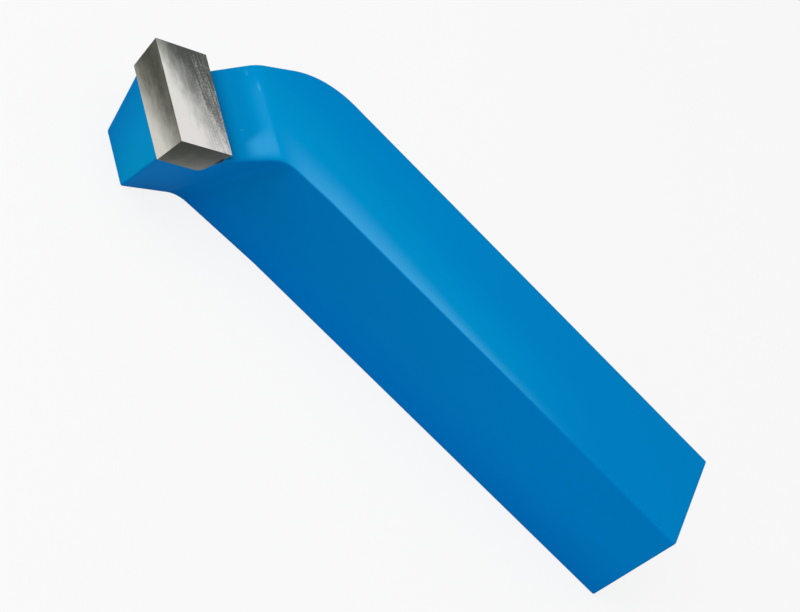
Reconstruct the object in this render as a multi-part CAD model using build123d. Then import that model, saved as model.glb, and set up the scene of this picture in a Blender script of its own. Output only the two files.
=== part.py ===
"""Brazed carbide turning tool: a bent steel shank with a carbide plate brazed into its head.

The frame is in millimetres. X runs along the shank towards the cutting end, Y to the side that
the head bends to, and Z up. The origin is in the middle of the seating face under the shank.
Angles are in degrees, and a heading is turned from X towards Y.
"""

import os
from math import cos, radians, sin, tan

from build123d import *

# Shank: a square bar with a sawn rear end
shank_width = 25.0
shank_height = 25.0
overall_length = 140.0
head_length = 44.0  # from the nose back to the end of the straight seat
rear_lean = 4.3  # the sawn end leans in towards the top
long_edge_radius = 0.6
end_edge_radius = 0.4  # around the rear end and around the head's front flank

# Head: bent to one side, with its flanks relieved so that only the plate touches the work
nose_past_bend = 28.9  # from where the outer side would meet the shank's side, at the top
nose_offset = 14.8  # from the shank's middle plane to the nose
outer_heading = 45.8
outer_bend_radius = 19.0
outer_relief = 6.0
inner_heading = 44.5
inner_relief = 13.3
inner_bend_radius = 6.5
inner_flare = 3.0  # turn of the inner side from the end of the straight seat to the bend
head_width = 21.1  # at the top, from the outer bend square to the inner side
front_relief = 14.7  # of the steel front flank and of the plate's above it

# Chip ramp: the slope down from the shank's top to behind the plate
ramp_depth = 4.4  # at the plate's back, half way along it
ramp_run = 9.0  # level distance from the plate's back to the crease
ramp_skew = 4.1  # turn of the crease from the plate's back
crease_radius = 8.0

# Carbide plate: its rake face falls away behind the main cutting edge
main_edge_heading = 135.6  # of the main cutting edge, from the nose
rake = 10.5
plate_length = 20.9
plate_width = 13.3
plate_thickness = 7.9
plate_nose_relief = 6.5
plate_end_relief = 5.5
plate_heel_radius = 1.5  # lower back edge, rounded to sit in the corner of the seat

# Braze, and the steel flank that is ground back from the plate
braze_thickness = 0.2
flank_setback = 0.15

# The cutters reach this far past the steel
cutter_reach = 30.0

up = Vector(0, 0, 1)
along_shank = Vector(1, 0, 0)
half_width = shank_width / 2
rear_x = (head_length - overall_length) / 2
seat_end_x = -rear_x
nose = Vector(seat_end_x + head_length, nose_offset, shank_height)
outer_corner = Vector(nose.X - nose_past_bend, -half_width, shank_height)


def heading_direction(heading):
    """The level unit vector with a heading."""
    return Vector(cos(radians(heading)), sin(radians(heading)), 0)


def inset_at(relief, drop):
    """How far a relieved flank has moved in after a drop."""
    return drop * tan(radians(relief))


# The plate's own axes: along the main edge, back across the rake face, and square to that face
edge_dir = heading_direction(main_edge_heading)
inward = up.cross(edge_dir)
back_dir = inward * cos(radians(rake)) - up * sin(radians(rake))
rake_normal = edge_dir.cross(back_dir)


def plate_point(along, back, above):
    """A point given in the plate's own axes, measured from the nose."""
    return nose + edge_dir * along + back_dir * back + rake_normal * above


def lower_front_edge(along):
    """A point on the plate's lower front edge."""
    return plate_point(along, inset_at(front_relief, plate_thickness), -plate_thickness)


def crossing(line_a, line_b):
    """Where two level lines cross in plan, each given as a point and a direction."""
    point_a, direction_a = line_a
    point_b, direction_b = line_b
    across_b = up.cross(direction_b)
    travel = (point_b - point_a).dot(across_b) / direction_a.dot(across_b)
    meeting = point_a + direction_a * travel
    return meeting.X, meeting.Y


def outer_line(height):
    """The head's outer side at one height."""
    direction = heading_direction(outer_heading)
    inset = inset_at(outer_relief, shank_height - height)
    return outer_corner + up.cross(direction) * inset, direction


def inner_line(height):
    """The head's inner side at one height."""
    direction = heading_direction(inner_heading)
    width = head_width - inset_at(inner_relief, shank_height - height)
    return outer_corner + up.cross(direction) * width, direction


def front_line(height):
    """The head's front flank at one height. It starts under the plate's lower front edge."""
    start = lower_front_edge(0)
    inset = flank_setback + inset_at(front_relief, start.Z - height)
    return start + inward * inset, edge_dir


def head_outline(height):
    """The head's outline in plan at one height, from the end of the straight seat."""
    outer_start = Vector(seat_end_x, -half_width)
    inner_start = Vector(seat_end_x, half_width)
    corners = [
        (outer_start.X, outer_start.Y),
        crossing((outer_start, along_shank), outer_line(height)),
        crossing(outer_line(height), front_line(height)),
        crossing(front_line(height), inner_line(height)),
        crossing(inner_line(height), (inner_start, heading_direction(inner_flare))),
        (inner_start.X, inner_start.Y),
    ]
    radii = [0, outer_bend_radius, 0, 0, inner_bend_radius, 0]
    outline = make_face(FilletPolyline(*corners, radius=radii, close=True))
    return Pos(0, 0, height) * outline


def make_straight_bar():
    """The square shank, from its leaning rear end to the end of the straight seat."""
    side_profile = Polyline(
        (rear_x, 0),
        (seat_end_x, 0),
        (seat_end_x, shank_height),
        (rear_x + inset_at(rear_lean, shank_height), shank_height),
        close=True,
    )
    return extrude(Plane.XZ * make_face(side_profile), amount=half_width, both=True)


def cut_chip_ramp(bar):
    """Cuts the slope behind the plate and softens the crease where it leaves the top."""
    foot = plate_point(plate_length / 2, plate_width, 0)
    foot = Vector(foot.X, foot.Y, shank_height - ramp_depth)
    crease_middle = foot + inward * ramp_run + up * ramp_depth
    crease_dir = heading_direction(main_edge_heading - ramp_skew)
    ramp_normal = crease_dir.cross(crease_middle - foot)
    ramp = Plane(origin=foot, x_dir=crease_dir, z_dir=ramp_normal)
    # Under the plate the cut stops half way, where the ramp is still above the seat's floor
    reach_under_plate = plate_width / 2
    space_above = Box(
        2 * cutter_reach,
        reach_under_plate + cutter_reach,
        cutter_reach,
        align=(Align.CENTER, Align.MIN, Align.MIN),
    )
    bar -= ramp * Pos(0, -reach_under_plate, 0) * space_above
    crease = bar.edges().sort_by_distance(crease_middle)[0]
    return fillet(crease, crease_radius)


def make_blank():
    """The bent and relieved bar before its seat is cut."""
    head = loft([head_outline(0), head_outline(shank_height)], ruled=True)
    bar = cut_chip_ramp(make_straight_bar() + head)
    # Wide enough to take in the edges of the flared inner side too
    long_edges = bar.edges().filter_by(Axis.X, tolerance=2 * inner_flare)
    bar = fillet(long_edges, long_edge_radius)
    rear_end = bar.faces().sort_by(Axis.X)[0]
    bar = fillet(rear_end.edges(), end_edge_radius)
    front_flank = bar.faces().sort_by_distance(lower_front_edge(plate_length / 2))[0]
    return fillet(front_flank.edges(), end_edge_radius)


def seat_cutter(gap):
    """All the space in front of and above an L-shaped seat that is a gap away from the plate."""
    back_wall = plate_width + gap
    floor = -plate_thickness - gap
    corners = [
        (-cutter_reach, floor),
        (back_wall, floor),
        (back_wall, cutter_reach),
        (-cutter_reach, cutter_reach),
    ]
    radii = [0, plate_heel_radius + gap, 0, 0]
    section = make_face(FilletPolyline(*corners, radius=radii, close=True))
    start = plate_point(-cutter_reach, 0, 0)
    section_plane = Plane(origin=start, x_dir=back_dir, z_dir=edge_dir)
    return extrude(section_plane * section, amount=plate_length + 2 * cutter_reach)


def make_plate():
    """The ground carbide plate, relieved under its main edge and at both ends."""
    block = Wedge(
        plate_length,
        plate_thickness,
        plate_width,
        inset_at(plate_nose_relief, plate_thickness),
        inset_at(front_relief, plate_thickness),
        plate_length - inset_at(plate_end_relief, plate_thickness),
        plate_width,
        align=(Align.MIN, Align.MIN, Align.MIN),
    )
    block = Plane(origin=nose, x_dir=edge_dir, z_dir=back_dir) * block
    heel_middle = plate_point(plate_length / 2, plate_width, -plate_thickness)
    heel = block.edges().sort_by_distance(heel_middle)[0]
    return fillet(heel, plate_heel_radius)


os.makedirs("parts", exist_ok=True)
blank = make_blank()
shank = blank - seat_cutter(braze_thickness)
braze_layer = blank & (seat_cutter(braze_thickness) - seat_cutter(0))
carbide_tip = make_plate()
export_step(shank, "parts/shank.step")
export_step(carbide_tip, "parts/carbide_tip.step")
export_step(braze_layer, "parts/braze_layer.step")
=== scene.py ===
"""Looks for the brazed carbide turning tool: sprayed blue enamel, ground carbide, copper braze.

The scene is in metres, in the tool's own frame: X runs along the shank towards the cutting end,
Y to the side that the head bends to, and Z up from the seating face. The finishes measure the
tool in millimetres. Colours are red, green and blue, and linear.
"""

from math import cos, radians, sin

import bpy
from mathutils import Euler, Matrix, Vector

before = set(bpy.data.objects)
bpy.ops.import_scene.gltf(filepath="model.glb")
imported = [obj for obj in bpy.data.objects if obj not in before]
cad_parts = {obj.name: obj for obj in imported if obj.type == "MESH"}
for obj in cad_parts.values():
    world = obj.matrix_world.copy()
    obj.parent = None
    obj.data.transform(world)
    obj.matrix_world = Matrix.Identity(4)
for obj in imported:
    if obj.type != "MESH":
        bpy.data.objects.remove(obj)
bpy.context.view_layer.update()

MM = 0.001

origin = Vector((0, 0, 0))
along_shank = Vector((1, 0, 0))
to_inner_side = Vector((0, 1, 0))
up = Vector((0, 0, 1))

# The bar, in millimetres
inner_edge = 12.5  # from the shank's middle plane to the inner edge of its top
bend = 60.0  # along the shank, to where its inner side bends
crease = 9.0  # behind the plate, to where the ramp meets the top

# The plate as it is ground, in millimetres
nose = Vector((92.0, 14.8, 25.0))
plate_length = 20.9
plate_width = 13.3
plate_thickness = 7.9
rake = radians(10.5)
front_relief = radians(14.7)
main_edge_heading = radians(135.6)
stroke_turn = radians(7)  # from the main edge to the grinding wheel's strokes

# Along the main edge, level behind it, back over the rake face, out of it, and out of the front
edge_dir = Vector((cos(main_edge_heading), sin(main_edge_heading), 0))
inward = up.cross(edge_dir)
back_dir = inward * cos(rake) - up * sin(rake)
rake_normal = edge_dir.cross(back_dir)
front_normal = -(inward * cos(front_relief) + up * sin(front_relief))

# Enamel
# The top, side and front blues differ partly by painted light and shade over the enamel
top_rear_blue = (0.0, 0.237, 0.6)
top_bend_blue = (0.0, 0.282, 0.595)
top_outer_blue = (0.0, 0.228, 0.575)
top_inner_blue = (0.0, 0.295, 0.64)
side_rear_blue = (0.0, 0.252, 0.695)
side_bend_blue = (0.0, 0.214, 0.575)
side_base_blue = (0.0, 0.214, 0.65)
rear_end_blue = (0.0, 0.235, 0.67)
front_nose_blue = (0.0, 0.205, 0.545)
front_inner_blue = (0.0, 0.305, 0.62)
mottled_blue = (0.0, 0.19, 0.5)
# Painted shade behind the plate, then a painted highlight band and a painted highlight wedge
ramp_shade_blue = (0.001, 0.12, 0.32)
highlight_band_blue = (0.042, 0.365, 0.73)
highlight_wedge_blue = (0.035, 0.345, 0.68)
scuffed_blue = (0.08, 0.42, 0.76)
sprayed_over_blue = (0.004, 0.1, 0.25)

# Carbide and copper
# The carbide's dark and pale colours are the ends of painted reflections
rake_dark = (0.08, 0.09, 0.083)
rake_pale_outer = (0.76, 0.765, 0.7)
rake_pale_inner = (0.8, 0.765, 0.75)
front_dark = (0.066, 0.069, 0.049)
ends_dark = (0.048, 0.054, 0.043)
flank_pale = (0.715, 0.7, 0.63)
dull_copper = (0.16, 0.12, 0.09)
bright_copper = (0.4, 0.3, 0.22)

# Studio
paper_dark = (0.7, 0.7, 0.7)
paper_pale = (0.72, 0.72, 0.72)
floor_whiteness = 0.85  # share of pure white in the floor where it is seen
ambient = 0.4  # strength of the white surroundings as a light
lamp_target = Vector((0.03, 0, 0))


class Field:
    """A node's output. Sums on one that gives a number are written as Python."""

    def __init__(self, nodes, socket):
        self.nodes = nodes
        self.socket = socket

    def math(self, operation, *terms):
        inputs = dict(enumerate(terms))
        return self.nodes.add("ShaderNodeMath", {"operation": operation}, inputs)

    def __add__(self, other):
        return self.math("ADD", self, other)

    def __radd__(self, other):
        return self.math("ADD", other, self)

    def __sub__(self, other):
        return self.math("SUBTRACT", self, other)

    def __rsub__(self, other):
        return self.math("SUBTRACT", other, self)

    def __mul__(self, other):
        return self.math("MULTIPLY", self, other)

    def __rmul__(self, other):
        return self.math("MULTIPLY", other, self)

    def __truediv__(self, other):
        return self.math("DIVIDE", self, other)

    def __rtruediv__(self, other):
        return self.math("DIVIDE", other, self)

    def ramped(self, low, high):
        """0 below low, 1 above high, and smooth between them."""
        settings = {"interpolation_type": "SMOOTHSTEP"}
        inputs = {"Value": self, "From Min": low, "From Max": high}
        return self.nodes.add("ShaderNodeMapRange", settings, inputs)


class Nodes:
    """The nodes of a material or of the world."""

    def __init__(self, owner):
        owner.use_nodes = True
        self.tree = owner.node_tree
        self.tree.nodes.clear()

    def add(self, kind, settings=None, inputs=None, output=0):
        """Adds a node, sets it up, fills its sockets and returns one of its outputs."""
        node = self.tree.nodes.new(kind)
        for setting, value in (settings or {}).items():
            setattr(node, setting, value)
        for name, value in (inputs or {}).items():
            if isinstance(value, Field):
                self.tree.links.new(value.socket, node.inputs[name])
            else:
                node.inputs[name].default_value = value
        return Field(self, node.outputs[output]) if node.outputs else None

    def seen(self):
        """1 for what is seen, straight, in gloss or through glass, and 0 for what only lights."""
        rays = self.add("ShaderNodeLightPath", output="Is Camera Ray")
        for name in ("Is Glossy Ray", "Is Transmission Ray"):
            rays = rays.math("MAXIMUM", rays, self.add("ShaderNodeLightPath", output=name))
        return rays


class Finish(Nodes):
    """A procedural material. Each kind of finish gives its name and the shader that it ends in."""

    def __init__(self):
        self.material = bpy.data.materials.new(self.name)
        super().__init__(self.material)
        in_metres = self.add("ShaderNodeTexCoord", output="Object")
        to_millimetres = {0: in_metres, "Scale": 1 / MM}
        self.place = self.add("ShaderNodeVectorMath", {"operation": "SCALE"}, to_millimetres)
        self.facing = self.add("ShaderNodeNewGeometry", output="Normal")

    def make(self):
        """The material, ended in its shader."""
        self.add("ShaderNodeOutputMaterial", inputs={"Surface": self.shader()})
        return self.material

    def dot(self, vector, direction):
        inputs = {0: vector, 1: direction}
        return self.add("ShaderNodeVectorMath", {"operation": "DOT_PRODUCT"}, inputs, "Value")

    def distance_along(self, direction, start):
        """How far a point of the surface is from the start, along a direction."""
        return self.dot(self.place, direction) - start.dot(direction)

    def faces(self, direction, low, high):
        """1 where the surface looks in a direction, and 0 where it looks elsewhere."""
        return self.dot(self.facing, direction).ramped(low, high)

    def noise(self, where, scale, detail, roughness=0.5):
        """Cloudy variation between 0 and 1, and about 0.5 on average."""
        inputs = {"Vector": where, "Scale": scale, "Detail": detail, "Roughness": roughness}
        return self.add("ShaderNodeTexNoise", inputs=inputs, output="Fac")

    def blend(self, share, *colours):
        """A colour between two others."""
        first, second = (c if isinstance(c, Field) else (*c, 1) for c in colours)
        inputs = {"Factor": share, "A": first, "B": second}
        # The node's first two outputs are its number and its vector
        return self.add("ShaderNodeMix", {"data_type": "RGBA"}, inputs, 2)

    def bump(self, height, depth, strength=1.0):
        inputs = {"Height": height, "Distance": depth * MM, "Strength": strength}
        return self.add("ShaderNodeBump", inputs=inputs)

    def principled(self, **sockets):
        """A Principled shader, with underscores for the spaces in its sockets' names."""
        inputs = {name.replace("_", " "): value for name, value in sockets.items()}
        return self.add("ShaderNodeBsdfPrincipled", inputs=inputs)


class BlueEnamel(Finish):
    """Sprayed satin enamel. Its colour holds painted light: a paler top towards the bend, painted
    highlights along the inner edge and on the ramp, and painted shade beside the plate.
    """

    name = "blue_enamel"

    def __init__(self):
        super().__init__()
        self.along = self.distance_along(along_shank, origin)
        self.across = self.distance_along(to_inner_side, origin)
        self.height = self.distance_along(up, origin)
        self.along_plate = self.distance_along(edge_dir, nose)
        self.behind_plate = self.distance_along(inward, nose + inward * plate_width)

    def top_blue_and_light(self):
        """Paler towards the bend and the inner edge: painted light, as from a lamp near the head on
        the inner side.
        """
        to_bend = self.along.ramped(0, bend)
        outwards = 1 - self.across.ramped(-13, 9)
        by_inner_edge = self.across.ramped(-4, 12) * self.along.ramped(-26, 14)
        coat = self.blend(to_bend, top_rear_blue, top_bend_blue)
        coat = self.blend(outwards * (0.3 + 0.7 * to_bend), coat, top_outer_blue)
        return self.blend(by_inner_edge, coat, top_inner_blue)

    def side_blue_and_shade(self):
        """Painted shade: deeper towards the bend, the base and the nose, where less light reaches
        the sides and the front.
        """
        to_bend = self.along.ramped(-40, bend)
        by_base = 1 - self.height.ramped(0, 14)
        on_rear_end = self.faces(-along_shank, 0.2, 0.6)
        on_front = self.faces(-inward, 0.85, 0.95)
        coat = self.blend(to_bend, side_rear_blue, side_bend_blue)
        coat = self.blend(by_base, coat, side_base_blue)
        coat = self.blend(on_rear_end, coat, rear_end_blue)
        front = self.blend(self.along_plate.ramped(0, 16), front_nose_blue, front_inner_blue)
        return self.blend(on_front, coat, front)

    def ramp_shade(self):
        """Painted shade on the ramp, deepest right behind the plate, which stands up in the light.
        """
        past_crease = self.behind_plate.ramped(4, crease + 0.5)
        on_ramp = self.behind_plate.ramped(-2, -1) * (1 - past_crease)
        return on_ramp * (0.95 - 0.55 * self.behind_plate.ramped(-1, 4))

    def highlight_band(self):
        """A painted highlight: the band along the inner edge of the top, which widens to the bend.
        """
        from_edge = inner_edge - self.across
        width = 2.6 + 4.2 * self.along.ramped(0, 50)
        band = (1 - from_edge.ramped(-0.4, width)) * from_edge.ramped(-1.6, -0.6)
        band = band * self.behind_plate.ramped(crease, crease + 6)
        return band * self.along.ramped(-20, 20) * (1 - 0.45 * self.along.ramped(44, 62))

    def highlight_wedge(self):
        """A painted highlight: the wedge on the ramp, up against the crease, and wide only near the
        inner side.
        """
        widened = self.behind_plate + 3.2 * self.along_plate.ramped(15, 18.4)
        past_crease = self.behind_plate.ramped(crease - 0.3, crease + 0.5)
        narrow_part = 0.3 * self.along_plate.ramped(4, 8)
        wide_part = 0.55 * self.along_plate.ramped(14.5, 18.6)
        past_end = self.along_plate.ramped(19.8, 21.8)
        wedge = widened.ramped(6, 8.8) * (1 - past_crease) * (1 - past_end)
        return 0.85 * wedge * (narrow_part + wide_part)

    def scuff(self, along, behind, half_length, half_width):
        """An oval mark, placed by how far it is along the plate and behind it."""
        off_along = (self.along_plate - along) / half_length
        off_behind = (self.behind_plate - behind) / half_width
        return 1 - (off_along * off_along + off_behind * off_behind).ramped(0, 1)

    def scuffs(self):
        """Two short scratches by the crease, and a nick nearer to the plate."""
        return [
            0.4 * self.scuff(along=6.7, behind=8.6, half_length=1.2, half_width=0.35),
            0.14 * self.scuff(along=3.5, behind=7.15, half_length=0.9, half_width=0.4),
            0.2 * self.scuff(along=15.2, behind=3.6, half_length=0.15, half_width=0.6),
        ]

    def shader(self):
        clouds = self.noise(self.place, scale=0.045, detail=3.0)
        peel = self.noise(self.place, scale=0.7, detail=2.0)
        level = self.faces(up, 0.3, 0.85)
        # Top and sides take different blues partly as painted light: a lit top, and sides made
        # bluer for the light bounced onto them.
        colour = self.blend(level, self.side_blue_and_shade(), self.top_blue_and_light())
        colour = self.blend(0.12 * clouds + 0.08 * peel, colour, mottled_blue)
        # Painted shade on the ramp behind the plate
        colour = self.blend(level * self.ramp_shade(), colour, ramp_shade_blue)
        # A painted highlight along the inner edge of the top
        colour = self.blend(level * self.highlight_band(), colour, highlight_band_blue)
        # A painted highlight on the ramp, by the crease
        colour = self.blend(level * self.highlight_wedge(), colour, highlight_wedge_blue)
        for scuff in self.scuffs():
            colour = self.blend(level * scuff, colour, scuffed_blue)
        return self.principled(
            Base_Color=colour,
            Roughness=0.3 + 0.1 * clouds + 0.06 * peel,
            # The photograph's even light shows hardly any gloss
            Specular_IOR_Level=0.002,
            Normal=self.bump(peel, 0.02),
        )


class GroundCarbide(Finish):
    """Cemented carbide off the grinding wheel, mottled and streaked, with a broad sheen on each
    face that is a painted reflection.

    For the sheens, u is the share of the way along the main edge, w back and h down.
    """

    name = "ground_carbide"

    def __init__(self):
        super().__init__()
        along = self.distance_along(edge_dir, nose)
        back = self.distance_along(back_dir, nose)
        self.down = self.distance_along(-rake_normal, nose)
        self.u = along / plate_length
        self.w = back / plate_width
        self.h = self.down / plate_thickness
        self.along_strokes = along * cos(stroke_turn) + back * sin(stroke_turn)
        self.across_strokes = back * cos(stroke_turn) - along * sin(stroke_turn)
        self.strokes = self.marks(lengthwise=0.11, crosswise=1.5, detail=3.0, roughness=0.6)
        self.fine = self.marks(lengthwise=0.5, crosswise=3.6, detail=2.0, roughness=0.7)
        self.mottle = self.marks(lengthwise=0.26, crosswise=0.62, detail=4.0, roughness=0.65)

    def marks(self, lengthwise, crosswise, detail, roughness):
        """Noise drawn out along the strokes, with its scale along and across them."""
        stretched = {
            "X": self.along_strokes * lengthwise,
            "Y": self.across_strokes * crosswise,
            "Z": self.down * crosswise,
        }
        where = self.add("ShaderNodeCombineXYZ", inputs=stretched)
        return self.noise(where, 1.0, detail, roughness)

    def rake_face(self):
        """A painted reflection, palest by the inner end of the main edge, over grinding marks that
        are coarsest towards the back.
        """
        u, w = self.u, self.w
        specks = self.noise(self.place, scale=3.2, detail=2.0, roughness=0.7)
        coarse = (w - 0.25 * u).ramped(0.25, 0.7)
        marks = 0.55 * (self.mottle - 0.5)
        marks = marks + coarse * (1.1 * (self.strokes - 0.5) + 0.9 * (specks - 0.5))
        painted_sheen = 0.43 + 1.45 * u - w * (1.5 + 0.93 * u - 1.15 * w)
        tone = (painted_sheen + marks).ramped(0, 1) * (0.85 + 0.15 * self.fine + 0.15 * self.mottle)
        return self.blend(tone, rake_dark, self.blend(u, rake_pale_outer, rake_pale_inner))

    def front_tone(self):
        """A painted reflection, palest low down at the inner end."""
        u, h = self.u, self.h
        painted_sheen = 0.22 + u * (0.47 * u - 0.34) + h * (0.7 * h - 0.61 + 1.14 * u)
        return (painted_sheen + 0.35 * (self.mottle - 0.5) + 0.15 * (self.fine - 0.5)).ramped(0, 1)

    def end_tone(self):
        """A painted reflection: dark, and a little paler low down at the back."""
        w, h = self.w, self.h
        painted_sheen = 0.08 + 0.12 * w * h + 0.24 * w * w + 0.24 * h * h
        return 0.45 * (painted_sheen + 0.25 * (self.mottle - 0.5)).ramped(0, 1)

    def flanks(self):
        """The plate's front flank and its two ends, with their painted reflections."""
        on_front = self.faces(front_normal, 0.8, 0.85)
        tone = on_front * self.front_tone() + (1 - on_front) * self.end_tone()
        return self.blend(tone, self.blend(on_front, ends_dark, front_dark), flank_pale)

    def shader(self):
        on_rake = self.faces(rake_normal, 0.85, 0.9)
        return self.principled(
            Base_Color=self.blend(on_rake, self.flanks(), self.rake_face()),
            Metallic=1.0,
            Specular_Tint=(0.6, 0.6, 0.6, 1),
            Roughness=0.26 + 0.16 * self.strokes + 0.1 * self.fine,
            Normal=self.bump(0.6 * self.strokes + 0.4 * self.fine, 0.01, strength=0.6),
        )


class CopperBraze(Finish):
    """The film between plate and seat, dulled by the torch and half sprayed over with enamel."""

    name = "copper_braze"

    def shader(self):
        clouds = self.noise(self.place, scale=0.9, detail=3.0)
        bare = self.noise(self.place, scale=0.4, detail=2.0).ramped(0.5, 0.75)
        copper = self.blend(clouds, dull_copper, bright_copper)
        return self.principled(
            Base_Color=self.blend(bare, sprayed_over_blue, copper),
            Metallic=bare,
            Roughness=0.35 + 0.25 * clouds,
        )


class FloorPaper(Finish):
    """Matt white studio paper, which is seen paler than it lights the tool."""

    name = "floor_paper"

    def shader(self):
        grain = self.noise(self.place, scale=0.3, detail=2.0)
        colour = self.blend(grain, paper_dark, paper_pale)
        paper = self.principled(Base_Color=colour, Roughness=0.8, Specular_IOR_Level=0.1)
        white = self.add("ShaderNodeEmission")
        mixed = {0: floor_whiteness * self.seen(), 1: paper, 2: white}
        return self.add("ShaderNodeMixShader", inputs=mixed)


def dress_tool():
    """Gives each solid of the tool its finish."""
    finishes = {"shank": BlueEnamel(), "carbide_tip": GroundCarbide(), "braze_layer": CopperBraze()}
    for node, finish in finishes.items():
        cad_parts[node].material_slots[0].material = finish.make()


def lay_floor():
    bpy.ops.mesh.primitive_plane_add(size=6.0, location=origin)
    floor = bpy.context.object
    floor.name = "studio_floor"
    floor.data.materials.append(FloorPaper().make())


def add_softbox(name, place, size, power):
    """A square lamp turned to the tool, which doesn't show in the metal."""
    light = bpy.data.lights.new(name, "AREA")
    light.shape = "SQUARE"
    light.size = size
    light.energy = power
    lamp = bpy.data.objects.new(name, light)
    lamp.location = place
    lamp.visible_glossy = False
    lamp.rotation_euler = (lamp_target - Vector(place)).to_track_quat("-Z", "Y").to_euler()
    bpy.context.scene.collection.objects.link(lamp)


def light_studio():
    """Two large softboxes in white surroundings."""
    add_softbox("overhead_softbox", place=(0.2, 0.1, 0.47), size=0.6, power=1.68)
    add_softbox("nose_softbox", place=(0.6, 0.25, 0.3), size=0.5, power=1.15)
    world = bpy.data.worlds.new("studio")
    bpy.context.scene.world = world
    nodes = Nodes(world)
    strength = ambient + (1 - ambient) * nodes.seen()
    white = nodes.add("ShaderNodeBackground", inputs={"Color": (1, 1, 1, 1), "Strength": strength})
    nodes.add("ShaderNodeOutputWorld", inputs={"Surface": white})


def set_camera():
    """Stands where the photograph was taken from, and looks back along the tool past its nose."""
    place = Vector((0.117676, 0.311013, 0.279084))
    turn = Euler([radians(angle) for angle in (33.8702, -39.5594, -153.7979)])
    data = bpy.data.cameras.new("camera")
    data.lens = 98.13
    data.sensor_width = 36.0
    data.clip_start = 0.01
    camera = bpy.data.objects.new("camera", data)
    camera.matrix_world = Matrix.LocRotScale(place, turn, None)
    bpy.context.scene.collection.objects.link(camera)
    bpy.context.scene.camera = camera


dress_tool()
lay_floor()
light_studio()
set_camera()

bpy.context.scene.view_settings.view_transform = "Standard"
